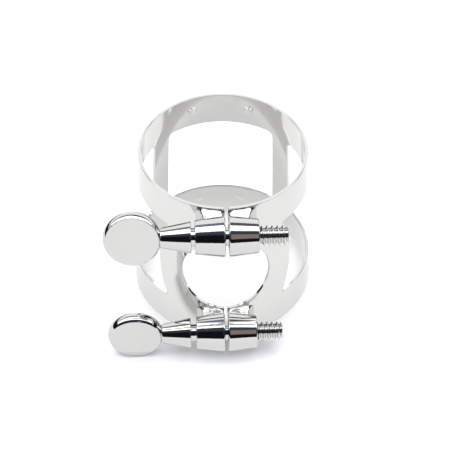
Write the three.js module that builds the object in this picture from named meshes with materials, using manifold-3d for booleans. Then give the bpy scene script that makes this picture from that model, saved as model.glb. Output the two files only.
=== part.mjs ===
// Saxophone ligature: a rolled sheet-metal band with a slit at the front, four lugs brazed beside
// the slit and two thumb screws that draw the slit together round the reed and the mouthpiece.
// Millimetres, +Z up. The slit faces -Y, the thumb screws enter from -X, and the ligature stands on
// its wider lower rim. Angles round the band are counted from the slit, positive towards +X.

import * as THREE from "three";
import { mergeVertices } from "three/addons/utils/BufferGeometryUtils.js";
import Module from "manifold-3d";

const wasm = await Module();
wasm.setup();

// ---- Driving dimensions ------------------------------------------------------------------------

// Band: a slightly conical shell of sheet metal.
const BAND_HEIGHT = 28.2;
const TOP_RADIUS = 13.5; // outer radius at the upper rim
const BOTTOM_RADIUS = 14.9; // outer radius at the lower rim
const SHEET = 0.5;
const EDGE_BREAK = 0.08; // broken edge along both rims
const RING_HEIGHT = 6.1; // height of the closed rings above and below the windows
const SLIT = 0.5;
const SLIT_CORNER = 0.45; // rounding of the band's corners at the slit
const BAND_SEGMENTS = 96;

// Openings punched in the band. Lengths along the sheet are measured at the unrolling radius.
const UNROLL_RADIUS = 14.1;
const HOLE_RADIUS = 7.3;
const HOLE_FACETS = 48;
const HOLE_HEIGHT = 13.6;
const CHEEK_REACH = 11.7; // from the slit to the furthest point of a front cheek's outer edge
const CHEEK_ARC_RADIUS = 18;
const CHEEK_CORNER = 0.5;
const STRUT_FRONT = 125; // degrees, the edge of a back strut that faces the side window
const STRUT_BACK = 139.7; // degrees, its edge that faces the back window
const WINDOW_CORNER = 1.0;
const PUNCH_INNER = 7.5; // the punches reach from inside the shell to well outside it
const PUNCH_OUTER = 25;
const PUNCH_STEPS = 7; // layers through a punch, one of which holds the whole sheet
const CORNER_FACETS = 5;

// Grip pimples pressed inwards at the back of both rings.
const PIMPLE_RADIUS = 0.85;
const PIMPLE_DEPTH = 0.25;
const UPPER_PIMPLE = { angle: 159, height: 25.5 };
const LOWER_PIMPLE = { angle: 165, height: 3.9 };

// Lugs: tapered barrels on flared feet, thickest at the slit.
const LUG_END = 4.9; // from the middle of the slit to a lug's outer end
const LUG_RADIUS_INNER = 3.12;
const LUG_RADIUS_OUTER = 2.65;
const LUG_EDGE_INNER = 0.28; // rounding of the end at the slit
const LUG_EDGE_OUTER = 0.18;
const BORE_RADIUS = 1.74;
const BORE_CHAMFER = 0.2;
const FOOT_NECK = 3.7; // a foot's outer side at the barrel, from the middle of the slit
const FOOT_TOE = 4.7; // and where it has flared out at the band
const FOOT_SLOPE = 0.36; // how fast a foot grows thinner towards the barrel
const FLARE_START = -0.8; // where the flare begins, from a foot's stand-off from the band
const FLARE_BEND = 0.7;
const FLARE_END = 1.2;
const FOOT_DEPTH = 1.9; // how far a foot's outline runs into the band before it is cut back
const BRAZE_GAP = 0.03;

// Thumb screws, along X from the shoulder that faces the lug.
const COIN_RADIUS = 4.5;
const COIN_CROWN = 1.5; // radius of the curve across the coin's rim
const COIN_EDGE = 0.1; // rounding between the rim and the flat faces
const COIN_THICKNESS = 2.1;
const COIN_CENTRE = -8.95;
const CONE_LENGTH = 4.8;
const CONE_RADIUS_THUMB = 1.6;
const CONE_RADIUS_SHOULDER = 2.45;
const CONE_EDGE = 0.16;
const NECK_ROUNDING = 0.35; // where the cone meets the thumb piece
const SHANK_RADIUS = 1.4;
const THREAD_RADIUS = 1.57;
const THREAD_ROOT = 1.14;
const THREAD_PITCH = 0.8;
const THREAD_START = 6.2;
const SCREW_END = 14.8;
const TIP_CHAMFER = 0.35;
const THREAD_STEPS = 16; // facets in one turn of the thread
const THREAD_ROOM = 0.1; // room round the crests in the shape that trims the thread

// Facets and tolerances that the pieces share.
const ARC_FACETS = 8; // along a foot's flare and across the coin's crown
const EDGE_FACETS = 3; // across a small rounding
const COIN_EDGE_FACETS = 2;
const NECK_FACETS = 4;
const PIMPLE_FACETS = 16;
const CHEEK_FACETS = 10;
const COIN_SEGMENTS = 48;
const BARREL_SEGMENTS = 40;
const TURNED_SEGMENTS = 32; // bores, cones and shanks
const OVERSHOOT = 1; // how far a cutting shape runs past what it cuts
const MERGE_DISTANCE = 1e-4;

// The two levels: the height of the screw axis, its stand-off from the band, half the height of the
// feet at the band, and how each screw is set, by the gap that it is backed off and the tilt of its
// thumb piece in degrees.
const UPPER = { height: 25.5, standOff: 3.1, footHalf: 2.35, backedOff: 0.55, tilt: 16.5 };
const LOWER = { height: 4.6, standOff: 3.5, footHalf: 1.68, backedOff: 0.85, tilt: 1.5 };

// ---- Materials ---------------------------------------------------------------------------------

const metals = {
  band: new THREE.MeshStandardMaterial({ color: 0xd9d9d6, roughness: 0.16, metalness: 1 }),
  lug: new THREE.MeshStandardMaterial({ color: 0xdcdcda, roughness: 0.1, metalness: 1 }),
  screw: new THREE.MeshStandardMaterial({ color: 0xdededb, roughness: 0.08, metalness: 1 }),
};

// ---- Small helpers -----------------------------------------------------------------------------

const radians = THREE.MathUtils.degToRad;

// The band's outer radius at a height.
function bandRadius(height) {
  return THREE.MathUtils.lerp(BOTTOM_RADIUS, TOP_RADIUS, height / BAND_HEIGHT);
}

// A closed three.js geometry as a solid that can be joined and cut.
function solid(geometry) {
  const bare = new THREE.BufferGeometry();
  bare.setAttribute("position", geometry.getAttribute("position"));
  bare.setIndex(geometry.index);
  const merged = mergeVertices(bare, MERGE_DISTANCE);
  return new wasm.Manifold(
    new wasm.Mesh({
      numProp: 3,
      vertProperties: merged.attributes.position.array,
      triVerts: new Uint32Array(merged.index.array),
    }),
  );
}

// A named mesh made of a solid.
function meshOf(name, body, material) {
  const { vertProperties, triVerts } = body.getMesh();
  const geometry = new THREE.BufferGeometry();
  geometry.setAttribute("position", new THREE.BufferAttribute(vertProperties, 3));
  geometry.setIndex(new THREE.BufferAttribute(triVerts, 1));
  geometry.computeVertexNormals();
  const mesh = new THREE.Mesh(geometry, material);
  mesh.name = name;
  return mesh;
}

// A body of revolution round Y. The profile is a list of [radius, y] from the low end to the high.
function revolve(profile, segments) {
  return new THREE.LatheGeometry(profile.map(([r, y]) => new THREE.Vector2(r, y)), segments);
}

// Revolution round Z, starting at the slit.
function revolveUpright(profile, segments) {
  return revolve(profile, segments).rotateX(Math.PI / 2);
}

// Revolution round X, with the profile running towards side (+1 or -1) times X.
function revolveAlongX(profile, segments, side = 1) {
  return revolve(profile, segments).rotateZ((-side * Math.PI) / 2);
}

// Points on an ellipse from angle `from` to angle `to`, in degrees.
function ellipsePoints(cx, cy, rx, ry, from, to, steps) {
  return Array.from({ length: steps + 1 }, (_, i) => {
    const angle = radians(from + ((to - from) * i) / steps);
    return [cx + rx * Math.cos(angle), cy + ry * Math.sin(angle)];
  });
}

// A closed outline through corners [x, y, rounding], each rounded by its own amount.
function roundedShape(corners) {
  const shape = new THREE.Shape();
  corners.forEach(([x, y, rounding = 0], i) => {
    const here = new THREE.Vector2(x, y);
    const last = corners[(i + corners.length - 1) % corners.length];
    const next = corners[(i + 1) % corners.length];
    const back = new THREE.Vector2(last[0], last[1]).sub(here).normalize();
    const on = new THREE.Vector2(next[0], next[1]).sub(here).normalize();
    const cut = rounding ? rounding / Math.tan(Math.acos(back.dot(on)) / 2) : 0;
    const start = here.clone().addScaledVector(back, cut);
    const end = here.clone().addScaledVector(on, cut);
    if (i === 0) shape.moveTo(start.x, start.y);
    else shape.lineTo(start.x, start.y);
    if (rounding) shape.quadraticCurveTo(x, y, end.x, end.y);
  });
  shape.closePath();
  return shape;
}

// ---- Band --------------------------------------------------------------------------------------

// A punch whose sides stand square to the sheet: an outline drawn on the unrolled sheet, x along
// it from the slit and y up, is extruded outwards and wrapped round the band's axis.
function punch(shape) {
  const geometry = new THREE.ExtrudeGeometry(shape, {
    depth: PUNCH_OUTER - PUNCH_INNER,
    steps: PUNCH_STEPS,
    bevelEnabled: false,
    curveSegments: CORNER_FACETS,
  });
  const position = geometry.getAttribute("position");
  for (let i = 0; i < position.count; i++) {
    const angle = position.getX(i) / UNROLL_RADIUS;
    const radius = PUNCH_INNER + position.getZ(i);
    position.setXYZ(i, radius * Math.sin(angle), -radius * Math.cos(angle), position.getY(i));
  }
  return solid(geometry);
}

function shell() {
  const b = EDGE_BREAK;
  const profile = [
    [BOTTOM_RADIUS - SHEET + b, 0],
    [BOTTOM_RADIUS - b, 0],
    [BOTTOM_RADIUS, b],
    [TOP_RADIUS, BAND_HEIGHT - b],
    [TOP_RADIUS - b, BAND_HEIGHT],
    [TOP_RADIUS - SHEET + b, BAND_HEIGHT],
    [TOP_RADIUS - SHEET, BAND_HEIGHT - b],
    [BOTTOM_RADIUS - SHEET, b],
    [BOTTOM_RADIUS - SHEET + b, 0],
  ];
  return solid(revolveUpright(profile, BAND_SEGMENTS));
}

// The slit, which widens at both rims where the band's corners are rounded.
function slitPunch() {
  const half = SLIT / 2;
  const wide = half + SLIT_CORNER;
  const shape = new THREE.Shape();
  shape.moveTo(-wide, -OVERSHOOT);
  shape.lineTo(wide, -OVERSHOOT);
  shape.lineTo(wide, 0);
  shape.quadraticCurveTo(half, 0, half, SLIT_CORNER);
  shape.lineTo(half, BAND_HEIGHT - SLIT_CORNER);
  shape.quadraticCurveTo(half, BAND_HEIGHT, wide, BAND_HEIGHT);
  shape.lineTo(wide, BAND_HEIGHT + OVERSHOOT);
  shape.lineTo(-wide, BAND_HEIGHT + OVERSHOOT);
  shape.lineTo(-wide, BAND_HEIGHT);
  shape.quadraticCurveTo(-half, BAND_HEIGHT, -half, BAND_HEIGHT - SLIT_CORNER);
  shape.lineTo(-half, SLIT_CORNER);
  shape.quadraticCurveTo(-half, 0, -wide, 0);
  shape.closePath();
  return punch(shape);
}

// The round opening at the front, between the two screws.
function holePunch() {
  const circle = ellipsePoints(0, HOLE_HEIGHT, HOLE_RADIUS, HOLE_RADIUS, 0, 360, HOLE_FACETS);
  return punch(new THREE.Shape(circle.slice(1).map(([x, y]) => new THREE.Vector2(x, y))));
}

// A side window: straight against the rings and the strut, and bounded at the front by the
// bulging edge of the cheek.
function sideWindowPunch(side) {
  const low = RING_HEIGHT;
  const high = BAND_HEIGHT - RING_HEIGHT;
  const middle = (low + high) / 2;
  const back = radians(STRUT_FRONT) * UNROLL_RADIUS;
  const sweep = THREE.MathUtils.radToDeg(Math.asin((high - middle) / CHEEK_ARC_RADIUS));
  const arcCentre = CHEEK_REACH - CHEEK_ARC_RADIUS;
  const cheek = ellipsePoints(
    arcCentre, middle, CHEEK_ARC_RADIUS, CHEEK_ARC_RADIUS, sweep, -sweep, CHEEK_FACETS,
  );
  const corners = [
    [back, low, WINDOW_CORNER],
    [back, high, WINDOW_CORNER],
    ...cheek.map(([x, y], i) => [x, y, i === 0 || i === cheek.length - 1 ? CHEEK_CORNER : 0]),
  ];
  return punch(roundedShape(corners.map(([x, y, rounding]) => [side * x, y, rounding])));
}

function backWindowPunch() {
  const half = radians(180 - STRUT_BACK) * UNROLL_RADIUS;
  const middle = Math.PI * UNROLL_RADIUS;
  const low = RING_HEIGHT;
  const high = BAND_HEIGHT - RING_HEIGHT;
  return punch(
    roundedShape([
      [middle - half, low, WINDOW_CORNER],
      [middle + half, low, WINDOW_CORNER],
      [middle + half, high, WINDOW_CORNER],
      [middle - half, high, WINDOW_CORNER],
    ]),
  );
}

// The lens that a pimple adds inside the band, or takes away outside it.
function pimpleLens({ angle, height }, side, surface) {
  const lens = new THREE.SphereGeometry(1, PIMPLE_FACETS, PIMPLE_FACETS / 2);
  lens.scale(PIMPLE_RADIUS, PIMPLE_DEPTH, PIMPLE_RADIUS);
  lens.translate(0, -surface, height);
  lens.rotateZ(side * radians(angle));
  return solid(lens);
}

function band() {
  let body = shell();
  for (const side of [-1, 1]) {
    for (const pimple of [UPPER_PIMPLE, LOWER_PIMPLE]) {
      const outside = bandRadius(pimple.height);
      body = body.add(pimpleLens(pimple, side, outside - SHEET));
      body = body.subtract(pimpleLens(pimple, side, outside));
    }
    body = body.subtract(sideWindowPunch(side));
  }
  body = body.subtract(backWindowPunch());
  body = body.subtract(holePunch());
  body = body.subtract(slitPunch());
  return meshOf("band", body, metals.band);
}

// ---- Lugs --------------------------------------------------------------------------------------

// The distance from the band's axis to a screw axis.
function axisReach({ height, standOff }) {
  return bandRadius(height) + standOff;
}

function barrel(side) {
  const start = SLIT / 2;
  const e = LUG_EDGE_INNER;
  const f = LUG_EDGE_OUTER;
  return solid(
    revolveAlongX(
      [
        [0, start],
        ...ellipsePoints(LUG_RADIUS_INNER - e, start + e, e, e, -90, 0, EDGE_FACETS),
        ...ellipsePoints(LUG_RADIUS_OUTER - f, LUG_END - f, f, f, 0, 90, EDGE_FACETS),
        [0, LUG_END],
      ],
      BARREL_SEGMENTS,
      side,
    ),
  );
}

function bore(side) {
  const start = SLIT / 2;
  const c = BORE_CHAMFER;
  return solid(
    revolveAlongX(
      [
        [0, start - c],
        [BORE_RADIUS + 2 * c, start - c],
        [BORE_RADIUS, start + c],
        [BORE_RADIUS, LUG_END - c],
        [BORE_RADIUS + 2 * c, LUG_END + c],
        [0, LUG_END + c],
      ],
      TURNED_SEGMENTS,
      side,
    ),
  );
}

// A foot is where two outlines cross: one seen from above that flares along the band, and one
// seen from the side that slopes down to the barrel. Both start at the screw axis, y = 0 here.
function foot(side, { standOff, footHalf }) {
  const deep = standOff + FOOT_DEPTH;
  const start = SLIT / 2;
  const flareEnd = standOff + FLARE_END;
  const plan = new THREE.Shape();
  plan.moveTo(side * start, 0);
  plan.lineTo(side * FOOT_NECK, 0);
  plan.lineTo(side * FOOT_NECK, standOff + FLARE_START);
  plan.quadraticCurveTo(side * FOOT_NECK, standOff + FLARE_BEND, side * FOOT_TOE, flareEnd);
  plan.lineTo(side * FOOT_TOE, deep);
  plan.lineTo(side * start, deep);
  plan.closePath();
  const fromAbove = new THREE.ExtrudeGeometry(plan, {
    depth: 2 * footHalf,
    bevelEnabled: false,
    curveSegments: ARC_FACETS,
  }).translate(0, 0, -footHalf);

  const thin = footHalf - FOOT_SLOPE * standOff;
  const profile = new THREE.Shape();
  profile.moveTo(-thin, 0);
  profile.lineTo(thin, 0);
  profile.lineTo(footHalf, standOff);
  profile.lineTo(footHalf, deep);
  profile.lineTo(-footHalf, deep);
  profile.lineTo(-footHalf, standOff);
  profile.closePath();
  const halfWidth = FOOT_TOE + OVERSHOOT;
  const fromSide = new THREE.ExtrudeGeometry(profile, { depth: 2 * halfWidth, bevelEnabled: false });
  // The outline's x is height and its y runs towards the band; its depth runs along X.
  fromSide.translate(0, 0, -halfWidth).applyMatrix4(
    new THREE.Matrix4().makeBasis(
      new THREE.Vector3(0, 0, 1),
      new THREE.Vector3(0, 1, 0),
      new THREE.Vector3(-1, 0, 0),
    ),
  );
  return solid(fromAbove).intersect(solid(fromSide));
}

// Everything inside the band's outer surface, with the brazing gap added.
function bandCore(reach, height) {
  const low = -OVERSHOOT;
  const high = BAND_HEIGHT + OVERSHOOT;
  const core = revolveUpright(
    [
      [0, low],
      [bandRadius(low) + BRAZE_GAP, low],
      [bandRadius(high) + BRAZE_GAP, high],
      [0, high],
    ],
    BAND_SEGMENTS,
  );
  return solid(core.translate(0, reach, -height));
}

function lug(name, side, level) {
  const reach = axisReach(level);
  const outline = barrel(side).add(foot(side, level));
  const body = outline.subtract(bore(side)).subtract(bandCore(reach, level.height));
  const mesh = meshOf(name, body, metals.lug);
  mesh.position.set(0, -reach, level.height);
  return mesh;
}

// ---- Thumb screws ------------------------------------------------------------------------------

function coin() {
  const e = COIN_EDGE;
  const half = COIN_THICKNESS / 2;
  const turn = Math.asin((half - e) / (COIN_CROWN - e));
  const end = THREE.MathUtils.radToDeg(turn);
  const middle = COIN_RADIUS - COIN_CROWN;
  const face = middle + (COIN_CROWN - e) * Math.cos(turn);
  const profile = [
    [0, -half],
    ...ellipsePoints(face, e - half, e, e, -90, -end, COIN_EDGE_FACETS),
    ...ellipsePoints(middle, 0, COIN_CROWN, COIN_CROWN, -end, end, ARC_FACETS).slice(1, -1),
    ...ellipsePoints(face, half - e, e, e, end, 90, COIN_EDGE_FACETS),
    [0, half],
  ];
  return solid(revolve(profile, COIN_SEGMENTS).translate(COIN_CENTRE, 0, 0));
}

function stem() {
  const thumbEnd = -CONE_LENGTH;
  const n = NECK_ROUNDING;
  const e = CONE_EDGE;
  return solid(
    revolveAlongX(
      [
        [0, thumbEnd],
        ...ellipsePoints(CONE_RADIUS_THUMB - n, thumbEnd + n, n, n, -90, 0, NECK_FACETS),
        ...ellipsePoints(CONE_RADIUS_SHOULDER - e, -e, e, e, 0, 90, EDGE_FACETS),
        [SHANK_RADIUS, 0],
        [SHANK_RADIUS, THREAD_START + THREAD_PITCH / 2],
        [0, THREAD_START + THREAD_PITCH / 2],
      ],
      TURNED_SEGMENTS,
    ),
  );
}

// The right-hand thread: a V-shaped groove that winds round the axis. Each row of vertices along
// the screw alternates between root and crest, and lies a little further on than the row before,
// so that a whole turn moves the rows on by one pitch, which is two vertices.
function threadCore() {
  const first = THREAD_START - 2 * THREAD_PITCH;
  const perRow = 2 * Math.ceil((SCREW_END - first) / THREAD_PITCH) + 4;
  const vertices = [];
  for (let row = 0; row < THREAD_STEPS; row++) {
    const turn = row / THREAD_STEPS;
    const angle = 2 * Math.PI * turn;
    for (let k = 0; k <= perRow; k++) {
      const radius = k % 2 ? THREAD_RADIUS : THREAD_ROOT;
      const along = first + THREAD_PITCH * (turn + k / 2);
      vertices.push(along, radius * Math.cos(angle), radius * Math.sin(angle));
    }
  }
  const vertex = (row, k) =>
    row < THREAD_STEPS ? row * (perRow + 1) + k : vertex(row - THREAD_STEPS, k + 2);
  const faces = [];
  for (let row = 0; row < THREAD_STEPS; row++) {
    const last = row < THREAD_STEPS - 1 ? perRow : perRow - 2;
    for (let k = 0; k < last; k++) {
      faces.push(vertex(row, k), vertex(row + 1, k + 1), vertex(row, k + 1));
      faces.push(vertex(row, k), vertex(row + 1, k), vertex(row + 1, k + 1));
    }
  }
  const rows = Array.from({ length: THREAD_STEPS }, (_, row) => row);
  const startLoop = [...rows.map((row) => vertex(row, 0)), vertex(0, 2), vertex(0, 1)];
  const endRow = THREAD_STEPS - 1;
  const endLoop = [...rows.map((row) => vertex(row, perRow)), vertex(endRow, perRow - 1)];
  endLoop.push(vertex(endRow, perRow - 2));
  const centre = vertices.length / 3;
  vertices.push(first, 0, 0, first + THREAD_PITCH * (perRow / 2 + 1), 0, 0);
  startLoop.forEach((v, i) => faces.push(centre, startLoop[(i + 1) % startLoop.length], v));
  endLoop.forEach((v, i) => faces.push(centre + 1, v, endLoop[(i + 1) % endLoop.length]));
  const thread = new THREE.BufferGeometry();
  thread.setAttribute("position", new THREE.Float32BufferAttribute(vertices, 3));
  thread.setIndex(faces);
  return solid(thread);
}

// The room the thread may fill: from its start to the chamfer at the screw's tip.
function threadEnvelope() {
  const outer = THREAD_RADIUS + THREAD_ROOM;
  return solid(
    revolveAlongX(
      [
        [0, THREAD_START],
        [outer, THREAD_START],
        [outer, SCREW_END - TIP_CHAMFER - THREAD_ROOM],
        [THREAD_RADIUS - TIP_CHAMFER, SCREW_END],
        [0, SCREW_END],
      ],
      TURNED_SEGMENTS,
    ),
  );
}

function thumbScrew(name, level) {
  const thread = threadCore().intersect(threadEnvelope());
  const mesh = meshOf(name, coin().add(stem()).add(thread), metals.screw);
  mesh.position.set(-LUG_END - level.backedOff, -axisReach(level), level.height);
  mesh.rotation.x = -radians(level.tilt);
  return mesh;
}

// ---- Assembly ----------------------------------------------------------------------------------

const ligature = new THREE.Group();
ligature.add(
  band(),
  lug("upper_left_lug", -1, UPPER),
  lug("upper_right_lug", 1, UPPER),
  lug("lower_left_lug", -1, LOWER),
  lug("lower_right_lug", 1, LOWER),
  thumbScrew("upper_thumb_screw", UPPER),
  thumbScrew("lower_thumb_screw", LOWER),
);

// The origin is the middle of the whole object's footprint, on the surface it stands on.
const footprint = new THREE.Box3().setFromObject(ligature, true).getCenter(new THREE.Vector3());
ligature.position.set(-footprint.x, -footprint.y, 0);

export default ligature;
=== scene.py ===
"""The visual model of a saxophone ligature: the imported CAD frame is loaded, each of its nodes is
replaced by a finer mesh in the same place, and the whole gets bright nickel plate on a white table.

Shapes are worked out in millimetres round the band's axis, with the slit towards -Y, and placed
in the row frame, in metres, when they become Blender meshes.
"""

import math

import bmesh
import bpy
import numpy as np
from mathutils import Matrix, Vector
from mathutils.geometry import delaunay_2d_cdt


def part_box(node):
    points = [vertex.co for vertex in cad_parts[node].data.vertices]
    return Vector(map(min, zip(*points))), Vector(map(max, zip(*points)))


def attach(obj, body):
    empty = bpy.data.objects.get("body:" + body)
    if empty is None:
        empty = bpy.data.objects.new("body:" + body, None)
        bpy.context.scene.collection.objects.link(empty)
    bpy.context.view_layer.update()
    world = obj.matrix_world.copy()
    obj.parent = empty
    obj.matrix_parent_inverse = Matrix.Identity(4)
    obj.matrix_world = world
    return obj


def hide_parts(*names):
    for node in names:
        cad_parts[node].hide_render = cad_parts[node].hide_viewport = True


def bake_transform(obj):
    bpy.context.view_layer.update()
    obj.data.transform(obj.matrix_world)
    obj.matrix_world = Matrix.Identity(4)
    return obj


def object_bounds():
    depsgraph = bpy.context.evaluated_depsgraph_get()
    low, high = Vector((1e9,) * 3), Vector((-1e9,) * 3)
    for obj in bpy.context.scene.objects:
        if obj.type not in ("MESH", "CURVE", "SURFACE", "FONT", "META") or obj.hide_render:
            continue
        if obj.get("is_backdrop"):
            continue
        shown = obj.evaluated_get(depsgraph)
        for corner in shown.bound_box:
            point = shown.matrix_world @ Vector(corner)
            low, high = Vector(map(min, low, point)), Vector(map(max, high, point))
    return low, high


MM = 0.001

# ---- Driving dimensions, in millimetres ----------------------------------------------------------

BAND_HEIGHT = 28.2
TOP_RADIUS = 13.5
BOTTOM_RADIUS = 14.9
SHEET = 0.5
SHEET_EDGE = 0.09  # rounding of the sheet's cut edges
RING_HEIGHT = 6.1
SLIT = 0.5
SLIT_CORNER = 0.45
BITE_CORNER = 0.15  # where the front hole meets the slit
UNROLL_RADIUS = 14.1
HOLE_RADIUS = 7.3
HOLE_HEIGHT = 13.6
CHEEK_REACH = 11.7
CHEEK_ARC_RADIUS = 18
CHEEK_CORNER = 0.35
STRUT_FRONT = 125  # degrees from the slit
STRUT_BACK = 139.7
WINDOW_CORNER = 1.0
PIMPLE_RADIUS = 0.85
PIMPLE_DEPTH = 0.25
PIMPLES = [(159, 25.5), (165, 3.9)]  # degrees from the slit, and height

LUG_END = 4.9
LUG_RADIUS_INNER = 3.12
LUG_RADIUS_OUTER = 2.65
LUG_EDGE_INNER = 0.28
LUG_EDGE_OUTER = 0.18
BORE_RADIUS = 1.74
BORE_CHAMFER = 0.2
FOOT_NECK = 3.7
FOOT_TOE = 4.7
FOOT_SLOPE = 0.36
BRAZE_GAP = 0.03

COIN_RADIUS = 4.5
COIN_CROWN = 1.5  # radius of the curve across the coin's rim
COIN_EDGE = 0.1
COIN_THICKNESS = 2.1
COIN_CENTRE = -8.95
CONE_LENGTH = 4.8
CONE_RADIUS_THUMB = 1.6
CONE_RADIUS_SHOULDER = 2.45
CONE_EDGE = 0.16
NECK_ROUNDING = 0.35
SHANK_RADIUS = 1.4
THREAD_RADIUS = 1.57
THREAD_ROOT = 1.14
THREAD_PITCH = 0.8
THREAD_START = 6.2
SCREW_END = 14.8
THREAD_FLAT = 0.09  # share of the pitch's half that is flat at the crest and at the root
THREAD_STEP = 0.055
TIP_CHAMFER = 0.35

# The height of each screw's axis, its stand-off from the band, half the height of the feet at the
# band, the gap that the screw is backed off, and the tilt of its thumb piece in degrees.
LEVELS = {
    "upper": {"height": 25.5, "stand_off": 3.1, "foot_half": 2.35, "backed_off": 0.55, "tilt": 16.5},
    "lower": {"height": 4.6, "stand_off": 3.5, "foot_half": 1.68, "backed_off": 0.85, "tilt": 1.5},
}

# ---- Camera, in millimetres from the band's axis -------------------------------------------------

CAMERA_PLACE = (-6.525, -161.68, 177.55)
CAMERA_AIM = (1.873, -2.851, 11.381)
CAMERA_LENS = 106.2
CAMERA_ROLL = 0.85  # degrees
SENSOR_WIDTH = 36
CLIP_START = 0.01  # metres
CLIP_END = 20

# ---- Finish. Bump heights are in micrometres, and a noise is its bumps per metre and its detail --

BAND_PLATE = {"color": (0.735, 0.73, 0.72), "roughness": 0.1, "wave": 0.6, "ripple": 0.1}
LUG_PLATE = {"color": (0.65, 0.645, 0.64), "roughness": 0.06, "wave": 4, "ripple": 4}
SCREW_PLATE = {"color": (0.65, 0.645, 0.64), "roughness": 0.05, "wave": 1, "ripple": 0.8}
DARKEST_TINT = 0.975  # share of a plate's colour
TINT_NOISE = (220, 3)
TINT_RANGE = (0.3, 0.7)  # the stretch of a noise's values that is used
SMEAR_NOISE = (380, 5)
SMEAR_RANGE = (0.3, 0.75)
SMEAR_ROUGHNESS = (0.7, 1.5)  # shares of a plate's roughness
WAVE_NOISE = (260, 2)
RIPPLE_NOISE = (2600, 1)
HAIRLINE_STRETCH = (900, 5200, 5200)
HAIRLINE_NOISE = (1, 4)  # after the stretch
HAIRLINE_HEIGHT = 0.05

BRAZE_REACH = 2.4  # millimetres from the band's skin
BRAZE_FADE = 0.25  # millimetres
BRAZE_COLOR = (0.6, 0.59, 0.58)
BRAZE_ROUGHNESS = 0.06
BRAZE_LUMPS = 45
BLOTCH_NOISE = (1900, 3)
LUMP_NOISE = (1700, 2)

PAPER_COLOR = (0.9, 0.9, 0.905)
PAPER_ROUGHNESS = 0.9
PAPER_GLOSS = 0.1
PAPER_TOOTH = 10
TOOTH_NOISE = (900, 4)

# ---- Light and studio, in metres where nothing else is said --------------------------------------

EVEN_LIGHT = 0.7
EVEN_COLOR = (0.94, 0.98, 1.04)
SOFTBOX_SIZE = 1.0
SOFTBOX_PLACE = (-0.03, -0.06, 0.8)
SOFTBOX_POWER = 8.0

TABLE_HALF = 3.0
ROOM_HALF = 2.9
BACKDROP = (1.3, 1.3, 1.3)

BRIGHT = (2.4, 2.4, 2.4)
PALE = (1.2, 1.2, 1.2)
DARK = (0.055, 0.07, 0.09)
BLACK = (0.008, 0.009, 0.013)
DIM = (0.22, 0.26, 0.31)
GREY = (0.13, 0.14, 0.17)
TAUPE = (0.3, 0.25, 0.22)

# The floor's light in the metal, with painted shade that darkens it inside the band and close to it:
# millimetres from the band's axis, and how bright it is there.
FLOOR = [(0, 0.8), (11, 0.83), (15.5, 0.98), (20, 1.07), (28, 1.11), (50, 1.14), (110, 1.17)]
FLOOR_REACH = 120
FLOOR_STRENGTH = 2
SCREW_SHADE = [(2.4, 0.95), (1.8, 0.8), (1.2, 0.55)]  # half widths in millimetres, and light
SHADE_STEP = 0.05  # millimetres that each strip of shade lies above the last

CAMERA_CARD = {"xs": (0.04, 0.13), "rises": (32, 58), "radius": 0.4, "color": TAUPE}
BACK_CARD = {"xs": (0.02, 0.5), "rises": (109, 130), "radius": 0.6, "color": GREY}
SIDE_CARD_X = 0.12
SIDE_CARD_FRONT = -0.08
SIDE_CARD_BACK = 0.35
SIDE_CARD_HEIGHT = 0.045

TENT_RADIUS = 0.9
TENT_HALF_LENGTH = 2
TENT_STRIPS = 90
TENT_STRENGTH = 3.0  # the brightest cloth

# The tent's cloth: degrees of rise from the front horizon over the top to the back, and its light.
TENT = [
    (0, PALE),
    (8, PALE),
    (9.5, BLACK),
    (52, BLACK),
    (62, DARK),
    (77.5, DARK),
    (78.5, BRIGHT),
    (111, BRIGHT),
    (114, DIM),
    (130.5, DIM),
    (132.5, PALE),
    (180, PALE),
]

# ---- Frame ---------------------------------------------------------------------------------------

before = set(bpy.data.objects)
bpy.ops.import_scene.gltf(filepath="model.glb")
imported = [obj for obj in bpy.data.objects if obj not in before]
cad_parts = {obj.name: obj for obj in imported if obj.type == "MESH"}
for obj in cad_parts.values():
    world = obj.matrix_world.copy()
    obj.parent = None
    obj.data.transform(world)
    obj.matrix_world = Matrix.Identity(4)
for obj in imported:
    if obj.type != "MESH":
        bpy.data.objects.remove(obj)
cad_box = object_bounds()

band_low, band_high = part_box("band")
AXIS = Vector(((band_low.x + band_high.x) / 2, (band_low.y + band_high.y) / 2, 0))


def band_radius(height):
    """The band's outer radius at a height."""
    return BOTTOM_RADIUS + (TOP_RADIUS - BOTTOM_RADIUS) * height / BAND_HEIGHT


def axis_reach(level):
    """The distance from the band's axis to a screw's axis."""
    return band_radius(level["height"]) + level["stand_off"]


# ---- Mesh helpers --------------------------------------------------------------------------------


def place(points):
    """Points in millimetres round the band's axis, as vectors in the row frame."""
    return [Vector(p) * MM + AXIS for p in points]


def new_object(name, points, faces, material):
    """A smooth-shaded object whose points are in millimetres round the band's axis."""
    mesh = bpy.data.meshes.new(name)
    mesh.from_pydata(place(points), [], faces)
    mesh.materials.append(material)
    mesh.polygons.foreach_set("use_smooth", [True] * len(mesh.polygons))
    mesh.update()
    obj = bpy.data.objects.new(name, mesh)
    bpy.context.scene.collection.objects.link(obj)
    return obj


def arc(cx, cy, rx, ry, start, end, steps):
    """Points on an ellipse's arc between two angles in degrees."""
    angles = np.radians(np.linspace(start, end, steps + 1))
    return [(cx + rx * math.cos(a), cy + ry * math.sin(a)) for a in angles]


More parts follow.
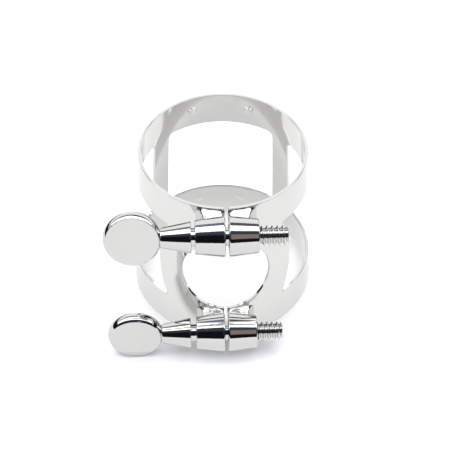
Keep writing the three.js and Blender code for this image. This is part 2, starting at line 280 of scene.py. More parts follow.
def lathe(profile, segments, to_point):
    """The points and faces of a body of revolution. The profile is (radius, along) from one end on
    the axis to the other, and to_point(radius, along, angle) gives a point."""
    points = []
    faces = []
    rings = []
    for radius, along in profile:
        if radius == 0:
            rings.append([len(points)])
            points.append(to_point(0, along, 0))
            continue
        rings.append(list(range(len(points), len(points) + segments)))
        points += [to_point(radius, along, 2 * math.pi * k / segments) for k in range(segments)]
    for low, high in zip(rings, rings[1:]):
        for k in range(segments):
            corners = [
                low[k % len(low)],
                low[(k + 1) % len(low)],
                high[(k + 1) % len(high)],
                high[k % len(high)],
            ]
            faces.append(tuple(dict.fromkeys(corners)))
    return points, [f for f in faces if len(f) > 2]


def face_outwards(obj):
    """Turns the faces of a closed mesh outwards."""
    mesh = bmesh.new()
    mesh.from_mesh(obj.data)
    bmesh.ops.recalc_face_normals(mesh, faces=mesh.faces)
    if mesh.calc_volume(signed=True) < 0:
        bmesh.ops.reverse_faces(mesh, faces=mesh.faces)
    mesh.to_mesh(obj.data)
    mesh.free()


def combine(obj, other, operation):
    """Joins another object to obj, or cuts it away, and removes the other."""
    modifier = obj.modifiers.new("combine", "BOOLEAN")
    modifier.operation = operation
    modifier.solver = "EXACT"
    modifier.object = other
    graph = bpy.context.evaluated_depsgraph_get()
    result = bpy.data.meshes.new_from_object(obj.evaluated_get(graph))
    obj.modifiers.clear()
    result.name = obj.data.name
    obj.data = result
    bpy.data.objects.remove(other)


def crease(obj, degrees):
    """Smooth shading with a sharp edge wherever two faces meet at more than the angle."""
    obj.data.polygons.foreach_set("use_smooth", [True] * len(obj.data.polygons))
    obj.data.set_sharp_from_angle(angle=math.radians(degrees))


def finish_piece(obj, node, body):
    """Ties a piece to its moving body and hides the CAD node it replaces."""
    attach(obj, body)
    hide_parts(node)


# ---- Materials -----------------------------------------------------------------------------------


def noise(nodes, links, vector, scale, detail):
    """The value of a noise texture whose scale is in bumps per metre."""
    texture = nodes.new("ShaderNodeTexNoise")
    texture.inputs["Scale"].default_value = scale
    texture.inputs["Detail"].default_value = detail
    links.new(vector, texture.inputs["Vector"])
    return texture.outputs["Fac"]


def spread(nodes, links, value, source, target):
    """The value, moved from one range to another and kept inside it."""
    node = nodes.new("ShaderNodeMapRange")
    node.inputs["From Min"].default_value, node.inputs["From Max"].default_value = source
    node.inputs["To Min"].default_value, node.inputs["To Max"].default_value = target
    links.new(value, node.inputs["Value"])
    return node.outputs["Result"]


def math_node(nodes, links, operation, *values):
    """A sum, product or the like, whose inputs are sockets or plain numbers."""
    node = nodes.new("ShaderNodeMath")
    node.operation = operation
    for socket, value in zip(node.inputs, values):
        if isinstance(value, (int, float)):
            socket.default_value = value
        else:
            links.new(value, socket)
    return node.outputs["Value"]


def bump(nodes, links, height, micrometres, normal=None):
    """A bump of a height in micrometres, on top of another one."""
    node = nodes.new("ShaderNodeBump")
    node.inputs["Distance"].default_value = micrometres * 1e-6
    links.new(height, node.inputs["Height"])
    if normal:
        links.new(normal, node.inputs["Normal"])
    return node.outputs["Normal"]


def color_mix(nodes, links, factor, first, second):
    """A mix of two colours, each a socket or a plain colour."""
    node = nodes.new("ShaderNodeMix")
    node.data_type = "RGBA"
    links.new(factor, node.inputs["Factor"])
    for name, value in (("A", first), ("B", second)):
        socket = next(i for i in node.inputs if i.name == name and i.type == "RGBA")
        if isinstance(value, tuple):
            socket.default_value = (*value, 1)
        else:
            links.new(value, socket)
    return next(o for o in node.outputs if o.type == "RGBA")


def plated_metal(name, color, roughness, wave, ripple):
    """Bright nickel plate: slow waves and finer ripples left by polishing, hairlines, and a tint and
    a roughness that vary a little."""
    material = bpy.data.materials.new(name)
    material.use_nodes = True
    nodes = material.node_tree.nodes
    links = material.node_tree.links
    shader = nodes["Principled BSDF"]
    shader.inputs["Metallic"].default_value = 1
    where = nodes.new("ShaderNodeTexCoord").outputs["Object"]

    tint = spread(nodes, links, noise(nodes, links, where, *TINT_NOISE), TINT_RANGE, (0, 1))
    plate = color_mix(nodes, links, tint, tuple(c * DARKEST_TINT for c in color), color)
    smear = noise(nodes, links, where, *SMEAR_NOISE)
    roughnesses = [roughness * share for share in SMEAR_ROUGHNESS]
    rough = spread(nodes, links, smear, SMEAR_RANGE, roughnesses)
    normal = bump(nodes, links, noise(nodes, links, where, *WAVE_NOISE), wave)
    normal = bump(nodes, links, noise(nodes, links, where, *RIPPLE_NOISE), ripple, normal)
    stretch = nodes.new("ShaderNodeMapping")
    stretch.inputs["Scale"].default_value = HAIRLINE_STRETCH
    links.new(where, stretch.inputs["Vector"])
    hairlines = noise(nodes, links, stretch.outputs["Vector"], *HAIRLINE_NOISE)
    normal = bump(nodes, links, hairlines, HAIRLINE_HEIGHT, normal)
    links.new(plate, shader.inputs["Base Color"])
    links.new(rough, shader.inputs["Roughness"])
    links.new(normal, shader.inputs["Normal"])
    return material


def axis_distance(nodes, links, where):
    """How far a place is from the band's axis, and its separate coordinates."""
    parts = nodes.new("ShaderNodeSeparateXYZ")
    links.new(where, parts.inputs["Vector"])
    x = math_node(nodes, links, "SUBTRACT", parts.outputs["X"], AXIS.x)
    y = math_node(nodes, links, "SUBTRACT", parts.outputs["Y"], AXIS.y)
    x_squared = math_node(nodes, links, "MULTIPLY", x, x)
    y_squared = math_node(nodes, links, "MULTIPLY", y, y)
    square = math_node(nodes, links, "ADD", x_squared, y_squared)
    return math_node(nodes, links, "POWER", square, 0.5), parts


def set_ramp(node, stops):
    """Gives a colour ramp its stops, each a position from 0 to 1 and a colour."""
    elements = node.color_ramp.elements
    while len(elements) < len(stops):
        elements.new(0.5)
    for element, (position, color) in zip(elements, stops):
        element.position = position
        element.color = (*color, 1)


def add_braze(material):
    """Turns a plated metal darker, rougher and lumpy close to the band's outer skin, where the feet
    of the lugs are brazed on."""
    nodes = material.node_tree.nodes
    links = material.node_tree.links
    shader = nodes["Principled BSDF"]
    where = nodes.new("ShaderNodeTexCoord").outputs["Object"]
    radius, parts = axis_distance(nodes, links, where)
    slope = (TOP_RADIUS - BOTTOM_RADIUS) / BAND_HEIGHT
    skin = math_node(nodes, links, "MULTIPLY_ADD", parts.outputs["Z"], slope, BOTTOM_RADIUS * MM)
    gap = math_node(nodes, links, "SUBTRACT", radius, skin)
    blotch = noise(nodes, links, where, *BLOTCH_NOISE)
    edge = math_node(nodes, links, "MULTIPLY", blotch, BRAZE_REACH * MM)
    near = math_node(nodes, links, "SUBTRACT", edge, gap)
    mask = spread(nodes, links, near, (0, BRAZE_FADE * MM), (0, 1))
    names = ("Base Color", "Roughness", "Normal")
    plate, smooth, even = (shader.inputs[name].links[0].from_socket for name in names)
    color = color_mix(nodes, links, mask, plate, BRAZE_COLOR)
    links.new(color, shader.inputs["Base Color"])
    lift = math_node(nodes, links, "MULTIPLY", mask, BRAZE_ROUGHNESS)
    links.new(math_node(nodes, links, "ADD", smooth, lift), shader.inputs["Roughness"])
    lumps = math_node(nodes, links, "MULTIPLY", noise(nodes, links, where, *LUMP_NOISE), mask)
    links.new(bump(nodes, links, lumps, BRAZE_LUMPS, even), shader.inputs["Normal"])


def table_paper():
    """The white table: matt paper with a barely visible tooth."""
    material = bpy.data.materials.new("table_paper")
    material.use_nodes = True
    nodes = material.node_tree.nodes
    links = material.node_tree.links
    shader = nodes["Principled BSDF"]
    shader.inputs["Base Color"].default_value = (*PAPER_COLOR, 1)
    shader.inputs["Roughness"].default_value = PAPER_ROUGHNESS
    shader.inputs["Specular IOR Level"].default_value = PAPER_GLOSS
    where = nodes.new("ShaderNodeTexCoord").outputs["Object"]
    tooth = bump(nodes, links, noise(nodes, links, where, *TOOTH_NOISE), PAPER_TOOTH)
    links.new(tooth, shader.inputs["Normal"])
    return material


def glow(name, color):
    """A card or tent cloth that gives off its own light."""
    material = bpy.data.materials.new(name)
    material.use_nodes = True
    nodes = material.node_tree.nodes
    nodes.remove(nodes["Principled BSDF"])
    shader = nodes.new("ShaderNodeEmission")
    shader.inputs["Color"].default_value = (*color, 1)
    surface = nodes["Material Output"].inputs["Surface"]
    material.node_tree.links.new(shader.outputs["Emission"], surface)
    return material


def tent_cloth():
    """The light tent as the metal sees it: a bright roof, pale walls, a dark gap at the front and a
    dim strip behind the roof."""
    material = glow("tent_cloth", PALE)
    nodes = material.node_tree.nodes
    links = material.node_tree.links
    parts = nodes.new("ShaderNodeSeparateXYZ")
    links.new(nodes.new("ShaderNodeTexCoord").outputs["Object"], parts.inputs["Vector"])
    forward = math_node(nodes, links, "MULTIPLY", parts.outputs["Y"], -1)
    rise = math_node(nodes, links, "ARCTAN2", parts.outputs["Z"], forward)
    tent = nodes.new("ShaderNodeValToRGB")
    set_ramp(tent, [(angle / 180, tuple(c / TENT_STRENGTH for c in color)) for angle, color in TENT])
    links.new(math_node(nodes, links, "DIVIDE", rise, math.pi), tent.inputs["Fac"])
    links.new(tent.outputs["Color"], nodes["Emission"].inputs["Color"])
    nodes["Emission"].inputs["Strength"].default_value = TENT_STRENGTH
    return material


def shaded_floor():
    """The floor as the metal sees it, with painted shade: a little darker inside the band and close
    to it, where the band's contact shadow falls.
    """
    material = glow("shaded_floor", PALE)
    nodes = material.node_tree.nodes
    links = material.node_tree.links
    where = nodes.new("ShaderNodeTexCoord").outputs["Object"]
    radius, _ = axis_distance(nodes, links, where)
    floor = nodes.new("ShaderNodeValToRGB")
    set_ramp(floor, [(reach / FLOOR_REACH, (light / FLOOR_STRENGTH,) * 3) for reach, light in FLOOR])
    links.new(math_node(nodes, links, "DIVIDE", radius, FLOOR_REACH * MM), floor.inputs["Fac"])
    links.new(floor.outputs["Color"], nodes["Emission"].inputs["Color"])
    nodes["Emission"].inputs["Strength"].default_value = FLOOR_STRENGTH
    return material


# ---- Band ----------------------------------------------------------------------------------------

COLUMN_STEP = 0.37  # spacing of the mesh columns along the sheet
ROW_STEP = 2.0
EDGE_STEP = 0.3  # spacing of points along a cut edge
CORNER_STEP = 0.12  # and round its corners
BITE_STEPS = 80  # along half of the front hole
CHEEK_STEPS = 40
ROUNDING_STEPS = 4  # across half of the sheet's rounded edge
EDGE_CLEARING = 2.5  # the even mesh's distance from the cut edges, in roundings of the edge
PIMPLE_SPREAD = 1.15  # how far the pressed form reaches, in pimple radii
PIMPLE_MESH = 1.2  # how far its finer mesh reaches
PIMPLE_CLEARING = 1.3  # and where the even mesh begins
PIMPLE_RINGS = 8
PIMPLE_SPOKES = 28
PROBE = 0.01  # the distance that a skin's slope is measured over
WELD = 1e-7  # points closer than this count as one in the triangulation
NO_LEAN = Vector((0, 0))


def rounded_outline(corners):
    """A closed outline through corners (x, y, rounding), with points along its straight stretches."""
    turns = []
    for i, (x, y, rounding) in enumerate(corners):
        here = Vector((x, y))
        back = (Vector(corners[i - 1][:2]) - here).normalized()
        on = (Vector(corners[(i + 1) % len(corners)][:2]) - here).normalized()
        if not rounding:
            turns.append([here])
            continue
        half = back.angle(on) / 2
        cut = rounding / math.tan(half)
        centre = here + (back + on).normalized() * rounding / math.sin(half)
        start = here + back * cut - centre
        end = here + on * cut - centre
        sweep = start.angle_signed(end)
        steps = max(3, round(abs(sweep) * rounding / CORNER_STEP))
        turns.append(
            [centre + Matrix.Rotation(-sweep * k / steps, 2) @ start for k in range(steps + 1)]
        )
    outline = []
    for i, turn in enumerate(turns):
        outline += turn
        far = turns[(i + 1) % len(turns)][0]
        gap = far - turn[-1]
        steps = max(1, round(gap.length / EDGE_STEP))
        outline += [turn[-1] + gap * k / steps for k in range(1, steps)]
    return outline


def sheet_outline():
    """The unrolled sheet from one lip of the slit round to the other. The round hole at the front
    takes half a circle out of each lip."""
    length = 2 * math.pi * UNROLL_RADIUS
    lip = SLIT / 2
    reach = math.degrees(math.acos(lip / HOLE_RADIUS))
    bite = arc(0, HOLE_HEIGHT, HOLE_RADIUS, HOLE_RADIUS, reach, -reach, BITE_STEPS)
    ends = (0, BITE_STEPS)
    bite = [(x, y, BITE_CORNER if k in ends else 0) for k, (x, y) in enumerate(bite)]
    far_bite = [(length - x, y, rounding) for x, y, rounding in reversed(bite)]
    corners = [(lip, 0, SLIT_CORNER), (length - lip, 0, SLIT_CORNER), *far_bite]
    corners += [(length - lip, BAND_HEIGHT, SLIT_CORNER), (lip, BAND_HEIGHT, SLIT_CORNER), *bite]
    return rounded_outline(corners)


def window_outline(side):
    """The side window, which the cheek's bulging edge bounds at the front."""
    low = RING_HEIGHT
    high = BAND_HEIGHT - RING_HEIGHT
    middle = (low + high) / 2
    back = math.radians(STRUT_FRONT) * UNROLL_RADIUS
    sweep = math.degrees(math.asin((high - middle) / CHEEK_ARC_RADIUS))
    radius = CHEEK_ARC_RADIUS
    cheek = arc(CHEEK_REACH - radius, middle, radius, radius, sweep, -sweep, CHEEK_STEPS)
    ends = (0, CHEEK_STEPS)
    corners = [(back, low, WINDOW_CORNER), (back, high, WINDOW_CORNER)]
    corners += [(x, y, CHEEK_CORNER if k in ends else 0) for k, (x, y) in enumerate(cheek)]
    return rounded_outline([(side * x, y, rounding) for x, y, rounding in corners])


def back_window_outline():
    """The window between the two back struts."""
    half = math.radians(180 - STRUT_BACK) * UNROLL_RADIUS
    middle = math.pi * UNROLL_RADIUS
    low = RING_HEIGHT
    high = BAND_HEIGHT - RING_HEIGHT
    left = middle - half
    right = middle + half
    corners = [(left, low), (right, low), (right, high), (left, high)]
    return rounded_outline([(x, y, WINDOW_CORNER) for x, y in corners])


def signed_area(loop):
    """The area inside a loop, positive when it runs anticlockwise."""
    return sum(a.cross(b) for a, b in zip(loop, loop[1:] + loop[:1])) / 2


def sheet_loops():
    """The sheet's outline and windows, with the material always on their left."""
    length = 2 * math.pi * UNROLL_RADIUS
    left_window = [Vector((length + p.x, p.y)) for p in window_outline(-1)]
    loops = [sheet_outline(), window_outline(1), left_window, back_window_outline()]
    for k, loop in enumerate(loops):
        if (signed_area(loop) > 0) != (k == 0):
            loop.reverse()
    return loops


def away(loop, i):
    """The direction out of the material at a point of a loop."""
    along = (loop[(i + 1) % len(loop)] - loop[i - 1]).normalized()
    return Vector((along.y, -along.x))


def pimple_spots():
    """The pimples' places on the unrolled sheet."""
    length = 2 * math.pi * UNROLL_RADIUS
    spots = []
    for angle, height in PIMPLES:
        s = math.radians(angle) * UNROLL_RADIUS
        spots += [Vector((s, height)), Vector((length - s, height))]
    return spots


def sheet_depth(s, z, spots):
    """How far a pimple presses the sheet inwards at a place."""
    press = 0
    for spot in spots:
        q = math.hypot(s - spot.x, z - spot.y) / (PIMPLE_RADIUS * PIMPLE_SPREAD)
        if q < 1:
            press += PIMPLE_DEPTH * (1 - q * q) ** 2
    return press


def roll(s, z, depth):
    """A place on the unrolled sheet, at a depth under its outer skin, rolled up to the band."""
    angle = s / UNROLL_RADIUS
    radius = band_radius(z) - depth
    return Vector((radius * math.sin(angle), -radius * math.cos(angle), z))


def inner_points(loops, spots):
    """Mesh points between the cut edges: columns along the band and rings round each pimple."""
    edge_points = np.array([p for loop in loops for p in loop])
    columns = np.arange(COLUMN_STEP, 2 * math.pi * UNROLL_RADIUS, COLUMN_STEP)
    rows = np.arange(ROW_STEP / 2, BAND_HEIGHT, ROW_STEP)
    grid = [(s, z) for s in columns for z in rows]
    clearing = PIMPLE_RADIUS * PIMPLE_CLEARING
    grid = [p for p in grid if all(math.dist(p, spot) > clearing for spot in spots)]
    for spot in spots:
        grid.append(tuple(spot))
        for ring in range(1, PIMPLE_RINGS + 1):
            radius = PIMPLE_RADIUS * PIMPLE_MESH * ring / PIMPLE_RINGS
            turns = np.linspace(0, 2 * math.pi, PIMPLE_SPOKES, endpoint=False)
            grid += [(spot.x + radius * math.cos(a), spot.y + radius * math.sin(a)) for a in turns]
    clear = []
    for p in grid:
        near = np.min(np.hypot(edge_points[:, 0] - p[0], edge_points[:, 1] - p[1]))
        if near > SHEET_EDGE * EDGE_CLEARING and inside(p, loops):
            clear.append(Vector(p))
    return clear


def inside(p, loops):
    """Whether a point lies in the material, by counting the edges to its right."""
    crossings = 0
    for loop in loops:
        for a, b in zip(loop, loop[1:] + loop[:1]):
            if (a.y > p[1]) != (b.y > p[1]) and p[0] < a.x + (p[1] - a.y) * (b.x - a.x) / (b.y - a.y):
                crossings += 1
    return crossings % 2 == 1


class SheetMesh:
    """The band's vertices: places on the rolled sheet, each with its true normal."""

    def __init__(self):
        self.spots = pimple_spots()
        self.points = []
        self.normals = []

    def add(self, p, depth, tilt, outward):
        """Adds a vertex whose normal leans by tilt (radians) from the skin towards outward."""
        here = roll(p.x, p.y, depth + sheet_depth(p.x, p.y, self.spots))
        beside = roll(p.x + PROBE, p.y, depth + sheet_depth(p.x + PROBE, p.y, self.spots))
        above = roll(p.x, p.y + PROBE, depth + sheet_depth(p.x, p.y + PROBE, self.spots))
        across = (beside - here).normalized()
        up = (above - here).normalized()
        skin = across.cross(up).normalized()
        flat = across * outward.x + up * outward.y
        self.points.append(here)
        self.normals.append((skin * math.cos(tilt) + flat * math.sin(tilt)).normalized())
        return len(self.points) - 1


def edge_rings(sheet, loop):
    """Rings of vertices that lead from the outer skin round a cut edge to the inner skin."""
    quarter = math.pi / 2
    rings = []
    for low_side in (False, True):
        for k in range(ROUNDING_STEPS + 1):
            tilt = quarter * k / ROUNDING_STEPS + (quarter if low_side else 0)
            inset = SHEET_EDGE * (1 - math.sin(tilt))
            depth = SHEET_EDGE * (1 - math.cos(tilt))
            if low_side:
                depth = SHEET - SHEET_EDGE * (1 + math.cos(tilt))
            ring = []
            for i, p in enumerate(loop):
                out = away(loop, i)
                ring.append(sheet.add(p - out * inset, depth, tilt, out))
            rings.append(ring)
    return rings


def faces_between(rings):
    """The four-sided faces between neighbouring rings."""
    faces = []
    for upper, lower in zip(rings, rings[1:]):
        for i in range(len(upper)):
            j = (i + 1) % len(upper)
            faces.append((upper[i], lower[i], lower[j], upper[j]))
    return faces


def skin_faces(sheet, loops, outer_rings, inner_rings):
    """Both skins, triangulated on the flat sheet between the rings where the rounded edges start."""
    flat = []
    edges = []
    outer = []
    inner = []
    skin_loops = [[p - away(loop, i) * SHEET_EDGE for i, p in enumerate(loop)] for loop in loops]
    for loop, outer_ring, inner_ring in zip(skin_loops, outer_rings, inner_rings):
        first = len(flat)
        flat += loop
        edges += [(first + i, first + (i + 1) % len(loop)) for i in range(len(loop))]
        outer += outer_ring
        inner += inner_ring
    for p in inner_points(loops, sheet.spots):
        flat.append(p)
        outer.append(sheet.add(p, 0, 0, NO_LEAN))
        inner.append(sheet.add(p, SHEET, math.pi, NO_LEAN))
    made = delaunay_2d_cdt(flat, edges, [], 0, WELD)
    places = made[0]
    triangles = made[2]
    sources = made[3]
    faces = []
    for triangle in triangles:
        middle = sum((places[v] for v in triangle), Vector((0, 0))) / 3
        if inside(middle, skin_loops):
            corners = [sources[v][0] for v in triangle]
            faces.append(tuple(outer[v] for v in corners))
            faces.append(tuple(inner[v] for v in reversed(corners)))
    return faces


def band_mesh(material):
    """The band as a rolled sheet with rounded edges. Both skins are triangulated flat and then
    rolled up, and every vertex gets its true normal, so that reflections run smoothly."""
    sheet = SheetMesh()
    loops = sheet_loops()
    faces = []
    outer_rings = []
    inner_rings = []
    for loop in loops:
        rings = edge_rings(sheet, loop)
        faces += faces_between(rings)
        outer_rings.append(rings[0])
        inner_rings.append(rings[-1])
    faces += skin_faces(sheet, loops, outer_rings, inner_rings)
    obj = new_object("band_sheet", sheet.points, faces, material)
    obj.data.normals_split_custom_set_from_vertices(sheet.normals)
    return obj


# ---- Lugs ----------------------------------------------------------------------------------------

HOLD = 0.04  # distance of the extra rings that keep a long face flat beside a rounded edge
SHORTEST_HELD = 0.24  # shorter stretches get no extra rings
BARREL_SEGMENTS = 128
BORE_SEGMENTS = 96
INNER_EDGE_STEPS = 8
OUTER_EDGE_STEPS = 6
FOOT_LAYERS = 26
FOOT_AROUND = 56
FOOT_INSET = 0.02  # how far a foot's inner side lies behind the barrel's end
FLARE_START = 0.5  # share of a foot's length
SQUARENESS = 0.35  # 1 would be a round section, and 0 a rectangle
LUG_CREASE = 32  # degrees


def held(profile):
    """The profile with an extra point just inside each end of its long stretches."""
    out = [profile[0]]
    for a, b in zip(profile, profile[1:]):
        length = math.dist(a, b)
        if length > SHORTEST_HELD:
            for share in (HOLD / length, 1 - HOLD / length):
                out.append((a[0] + (b[0] - a[0]) * share, a[1] + (b[1] - a[1]) * share))
        out.append(b)
    return out


def round_axis(level, side=1):
    """A function that puts a lathe's points round a screw's axis, running towards side times X."""
    reach = axis_reach(level)
    height = level["height"]

    def to_point(radius, along, angle):
        return (side * along, -reach + radius * math.cos(angle), height + radius * math.sin(angle))

    return to_point


def lug_barrel(side, level, material):
    """The tapered barrel, thickest at the slit."""
    start = SLIT / 2
    e = LUG_EDGE_INNER
    f = LUG_EDGE_OUTER
    profile = [
        (0, start),
        *arc(LUG_RADIUS_INNER - e, start + e, e, e, -90, 0, INNER_EDGE_STEPS),
        *arc(LUG_RADIUS_OUTER - f, LUG_END - f, f, f, 0, 90, OUTER_EDGE_STEPS),
        (0, LUG_END),
    ]
    shape = lathe(held(profile), BARREL_SEGMENTS, round_axis(level, side))
    obj = new_object("barrel", *shape, material)
    face_outwards(obj)
    return obj


def lug_bore(side, level, material):
    """The room that the screw takes in a barrel, chamfered at both ends."""
    start = SLIT / 2
    c = BORE_CHAMFER
    profile = [
        (0, start - c),
        (BORE_RADIUS + 2 * c, start - c),
        (BORE_RADIUS, start + c),
        (BORE_RADIUS, LUG_END - c),
        (BORE_RADIUS + 2 * c, LUG_END + c),
        (0, LUG_END + c),
    ]
    shape = lathe(held(profile), BORE_SEGMENTS, round_axis(level, side))
    obj = new_object("bore", *shape, material)
    face_outwards(obj)
    return obj


def flare(share):
    """A quarter-round rise from 0 to 1 over the last part of a foot."""
    if share <= FLARE_START:
        return 0
    t = (share - FLARE_START) / (1 - FLARE_START)
    return 1 - math.sqrt(max(0, 1 - t * t))


def squircle(value):
    """Pushes a round section out towards a rectangle with rounded corners."""
    return math.copysign(abs(value) ** SQUARENESS, value)


def lug_foot(side, level, material):
    """The foot between the barrel and the band. It slopes up towards the band, and its outer end
    flares where it is brazed."""
    reach = axis_reach(level)
    height = level["height"]
    points = []
    for layer in range(FOOT_LAYERS + 1):
        share = layer / FOOT_LAYERS
        half_height = level["foot_half"] - FOOT_SLOPE * level["stand_off"] * (1 - share)
        outer = FOOT_NECK + (FOOT_TOE - FOOT_NECK) * flare(share)
        inner = SLIT / 2 + FOOT_INSET
        middle = (outer + inner) / 2
        half_width = (outer - inner) / 2
        for k in range(FOOT_AROUND):
            angle = 2 * math.pi * k / FOOT_AROUND
            x = side * (middle + half_width * squircle(math.cos(angle)))
            z = height + half_height * squircle(math.sin(angle))
            surface = -math.sqrt((band_radius(z) + BRAZE_GAP) ** 2 - x * x)
            points.append((x, -reach + share * (surface + reach), z))
    last = FOOT_LAYERS * FOOT_AROUND
    faces = [tuple(range(FOOT_AROUND)), tuple(reversed(range(last, last + FOOT_AROUND)))]
    for layer in range(FOOT_LAYERS):
        for k in range(FOOT_AROUND):
            a = layer * FOOT_AROUND + k
            b = layer * FOOT_AROUND + (k + 1) % FOOT_AROUND
            faces.append((a, b, b + FOOT_AROUND, a + FOOT_AROUND))
    obj = new_object("foot", points, faces, material)
    face_outwards(obj)
    return obj


def lug(name, side, level, material):
    """A barrel and its foot in one piece, bored for the screw."""
    obj = lug_barrel(side, level, material)
    combine(obj, lug_foot(side, level, material), "UNION")
    combine(obj, lug_bore(side, level, material), "DIFFERENCE")
    obj.name = name
    crease(obj, LUG_CREASE)
    return obj


# ---- Thumb screws --------------------------------------------------------------------------------

STEM_SEGMENTS = 72
NECK_STEPS = 6
CONE_EDGE_STEPS = 5
TIP_STEPS = 6
COIN_SEGMENTS = 160
COIN_EDGE_STEPS = 5
CROWN_STEPS = 24
SCREW_CREASE = 50  # degrees


def thread_radius(along, angle):
    """The radius of the right-hand thread's surface: a V groove with narrow flats."""
    phase = ((along - THREAD_START) / THREAD_PITCH - angle / (2 * math.pi)) % 1
    fall = (abs(phase - 0.5) * 2 - THREAD_FLAT) / (1 - 2 * THREAD_FLAT)
    groove = THREAD_RADIUS - (THREAD_RADIUS - THREAD_ROOT) * min(1, max(0, fall))
    run_in = min(1, max(0, (along - THREAD_START) / THREAD_PITCH))
    return SHANK_RADIUS + (groove - SHANK_RADIUS) * run_in


def screw_stem(shoulder, level, material):
    """The cone, the plain shank and the thread, down to the chamfered tip."""
    n = NECK_ROUNDING
    e = CONE_EDGE
    tip = SCREW_END - TIP_CHAMFER
    head = [
        (0, -CONE_LENGTH),
        *arc(CONE_RADIUS_THUMB - n, n - CONE_LENGTH, n, n, -90, 0, NECK_STEPS),
        *arc(CONE_RADIUS_SHOULDER - e, -e, e, e, 0, 90, CONE_EDGE_STEPS),
        (SHANK_RADIUS, 0),
        (SHANK_RADIUS, THREAD_START),
    ]
    length = tip - THREAD_START
    steps = round(length / THREAD_STEP)
    thread = [(THREAD_RADIUS, THREAD_START + length * k / steps) for k in range(1, steps + 1)]
    drops = [TIP_CHAMFER * k / TIP_STEPS for k in range(1, TIP_STEPS + 1)]
    end = [(THREAD_RADIUS - drop, tip + drop) for drop in drops]
    end += [(end[-1][0] - HOLD, SCREW_END), (0, SCREW_END)]
    centred = round_axis(level)

    def to_point(radius, along, angle):
        if along > THREAD_START and radius > THREAD_ROOT:
            radius = min(radius, thread_radius(along, angle))
        x, y, z = centred(radius, along, angle)
        return (x + shoulder, y, z)

    shape = lathe(held(head) + thread + end, STEM_SEGMENTS, to_point)
    obj = new_object("stem", *shape, material)
    face_outwards(obj)
    return obj


def screw_coin(shoulder, level, material):
    """The thumb piece: a flat disc with a crowned rim, whose faces tilt about the screw's axis."""
    e = COIN_EDGE
    half = COIN_THICKNESS / 2
    turn = math.asin((half - e) / (COIN_CROWN - e))
    end = math.degrees(turn)
    middle = COIN_RADIUS - COIN_CROWN
    face = middle + (COIN_CROWN - e) * math.cos(turn)
    profile = [
        (0, -half),
        *arc(face, e - half, e, e, -90, -end, COIN_EDGE_STEPS),
        *arc(middle, 0, COIN_CROWN, COIN_CROWN, -end, end, CROWN_STEPS)[1:-1],
        *arc(face, half - e, e, e, end, 90, COIN_EDGE_STEPS),
        (0, half),
    ]
    tilt = Matrix.Rotation(-math.radians(level["tilt"]), 3, "X")
    centre = Vector((shoulder + COIN_CENTRE, -axis_reach(level), level["height"]))

    def to_point(radius, along, angle):
        flat = Vector((radius * math.cos(angle), along, radius * math.sin(angle)))
        return centre + tilt @ flat

    obj = new_object("coin", *lathe(held(profile), COIN_SEGMENTS, to_point), material)
    face_outwards(obj)
    return obj


def thumb_screw(name, level, material):
    """A screw in one piece with its thumb piece."""
    shoulder = -LUG_END - level["backed_off"]
    obj = screw_coin(shoulder, level, material)
    combine(obj, screw_stem(shoulder, level, material), "UNION")
    obj.name = name
    crease(obj, SCREW_CREASE)
    return obj


# ---- Stage ---------------------------------------------------------------------------------------


def add_camera():
    """The main view, aimed at the front of the ligature from above."""
    data = bpy.data.cameras.new("camera")
    data.lens = CAMERA_LENS
    data.sensor_width = SENSOR_WIDTH
    data.clip_start = CLIP_START
    data.clip_end = CLIP_END
    camera = bpy.data.objects.new("camera", data)
    bpy.context.scene.collection.objects.link(camera)
    place = AXIS + Vector(CAMERA_PLACE) * MM
    aim = AXIS + Vector(CAMERA_AIM) * MM
    look = (aim - place).to_track_quat("-Z", "Y").to_matrix().to_4x4()
    roll_turn = Matrix.Rotation(math.radians(CAMERA_ROLL), 4, "Z")
    camera.matrix_world = Matrix.Translation(place) @ look @ roll_turn
    bpy.context.scene.camera = camera


def add_stage_mesh(name, points, faces, material):
    """A piece of the studio, with its points in metres."""
    mesh = bpy.data.meshes.new(name)
    mesh.from_pydata(points, [], faces)
    mesh.materials.append(material)
    obj = bpy.data.objects.new(name, mesh)
    bpy.context.scene.collection.objects.link(obj)
    obj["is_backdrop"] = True
    return obj


def show_in_reflections_only(obj):
    """Hides a piece of the studio from everything but glossy rays."""
    obj.visible_camera = False
    obj.visible_diffuse = False
    obj.visible_shadow = False
    obj.visible_transmission = False
    obj.visible_volume_scatter = False


def add_table():
    """The table, and in its place, for the reflections alone, a sheet with no cast shadows but with
    painted shade near and inside the band.
    """
    half = TABLE_HALF
    corners = [(-half, -half, 0), (half, -half, 0), (half, half, 0), (-half, half, 0)]
    add_stage_mesh("table", corners, [(0, 1, 2, 3)], table_paper()).visible_glossy = False
    show_in_reflections_only(add_stage_mesh("sheet", corners, [(0, 1, 2, 3)], shaded_floor()))


def add_light():
    """A soft overhead light, which reflections don't see, and a weak even light from everywhere."""
    world = bpy.data.worlds.new("studio")
    bpy.context.scene.world = world
    world.use_nodes = True
    background = world.node_tree.nodes["Background"]
    background.inputs["Color"].default_value = (*EVEN_COLOR, 1)
    background.inputs["Strength"].default_value = EVEN_LIGHT
    data = bpy.data.lights.new("softbox", "AREA")
    data.shape = "DISK"
    data.size = SOFTBOX_SIZE
    data.energy = SOFTBOX_POWER
    softbox = bpy.data.objects.new("softbox", data)
    bpy.context.scene.collection.objects.link(softbox)
    softbox.location = SOFTBOX_PLACE
    softbox.rotation_euler = (-Vector(SOFTBOX_PLACE)).to_track_quat("-Z", "Y").to_euler()
    softbox.visible_glossy = False


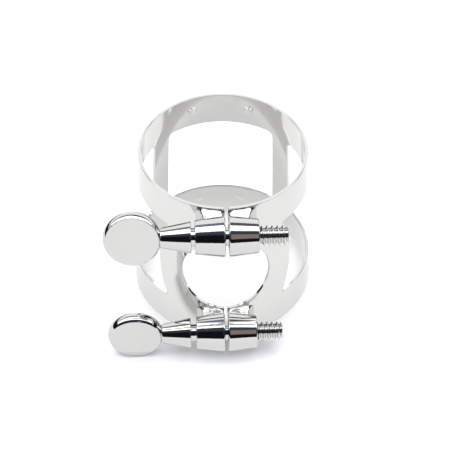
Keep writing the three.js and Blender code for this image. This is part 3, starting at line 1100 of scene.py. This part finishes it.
def add_backdrop():
    """A white room round the table, which only the camera sees."""
    ends = (-ROOM_HALF, ROOM_HALF)
    room = [(x, y, z) for z in ends for y in ends for x in ends]
    faces = [(0, 1, 3, 2), (4, 5, 7, 6), (0, 1, 5, 4), (2, 3, 7, 6), (0, 2, 6, 4), (1, 3, 7, 5)]
    backdrop = add_stage_mesh("backdrop", room, faces, glow("backdrop", BACKDROP))
    show_in_reflections_only(backdrop)
    backdrop.visible_glossy = False
    backdrop.visible_camera = True


def add_tent():
    """A tube of tent cloth along X, which only reflections see."""
    angles = [math.pi * k / TENT_STRIPS for k in range(TENT_STRIPS + 1)]
    section = [(-TENT_RADIUS * math.cos(a), TENT_RADIUS * math.sin(a)) for a in angles]
    points = [(x, y, z) for x in (-TENT_HALF_LENGTH, TENT_HALF_LENGTH) for y, z in section]
    ring = len(section)
    faces = [(k, k + 1, ring + k + 1, ring + k) for k in range(TENT_STRIPS)]
    show_in_reflections_only(add_stage_mesh("tent", points, faces, tent_cloth()))


def add_card(name, xs, rises, radius, color):
    """A card inside the tent, between two places along X and two angles of rise."""
    points = []
    for x, rise in zip((xs[0], xs[1], xs[1], xs[0]), (rises[0], rises[0], rises[1], rises[1])):
        angle = math.radians(rise)
        points.append((x, -radius * math.cos(angle), radius * math.sin(angle)))
    show_in_reflections_only(add_stage_mesh(name, points, [(0, 1, 2, 3)], glow(name, color)))


def add_screw_shade():
    """The contact shadow under the lower screw, as the metal sees it: strips, each on the last."""
    level = LEVELS["lower"]
    y = AXIS.y - axis_reach(level) * MM
    left = AXIS.x + (COIN_CENTRE - LUG_END - level["backed_off"] - COIN_RADIUS) * MM
    right = AXIS.x + LUG_END * MM
    for k, (half_width, light) in enumerate(SCREW_SHADE):
        near = y - half_width * MM
        far = y + half_width * MM
        z = SHADE_STEP * MM * (k + 1)
        points = [(left, near, z), (right, near, z), (right, far, z), (left, far, z)]
        shade = glow("screw_shade", (light,) * 3)
        show_in_reflections_only(add_stage_mesh("screw_shade", points, [(0, 1, 2, 3)], shade))


def add_side_card(name, x, color):
    """A low card that stands on the table beside the object."""
    front = SIDE_CARD_FRONT
    back = SIDE_CARD_BACK
    height = SIDE_CARD_HEIGHT
    points = [(x, front, 0), (x, back, 0), (x, back, height), (x, front, height)]
    show_in_reflections_only(add_stage_mesh(name, points, [(0, 1, 2, 3)], glow(name, color)))


# ---- Assembly ------------------------------------------------------------------------------------

band_metal = plated_metal("band_plate", **BAND_PLATE)
lug_metal = plated_metal("lug_plate", **LUG_PLATE)
add_braze(lug_metal)
screw_metal = plated_metal("screw_plate", **SCREW_PLATE)

band = band_mesh(band_metal)
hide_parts("band")
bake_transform(band)

for level_name, level in LEVELS.items():
    for hand, side, body in (("left", -1, "band_and_left_lugs"), ("right", 1, "right_lugs")):
        node = f"{level_name}_{hand}_lug"
        finish_piece(lug(f"{node}_plated", side, level, lug_metal), node, body)
    node = f"{level_name}_thumb_screw"
    piece = thumb_screw(f"{node}_plated", level, screw_metal)
    finish_piece(piece, node, f"{level_name}_screw")

add_camera()
add_table()
add_light()
add_backdrop()
add_tent()
add_card("camera_card", **CAMERA_CARD)
add_card("back_card", **BACK_CARD)
add_screw_shade()
for side_name, side in (("left_card", -1), ("right_card", 1)):
    add_side_card(side_name, side * SIDE_CARD_X, BLACK)
bpy.context.scene.view_settings.view_transform = "Standard"

sizes = [[list(corner) for corner in box] for box in (cad_box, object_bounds())]
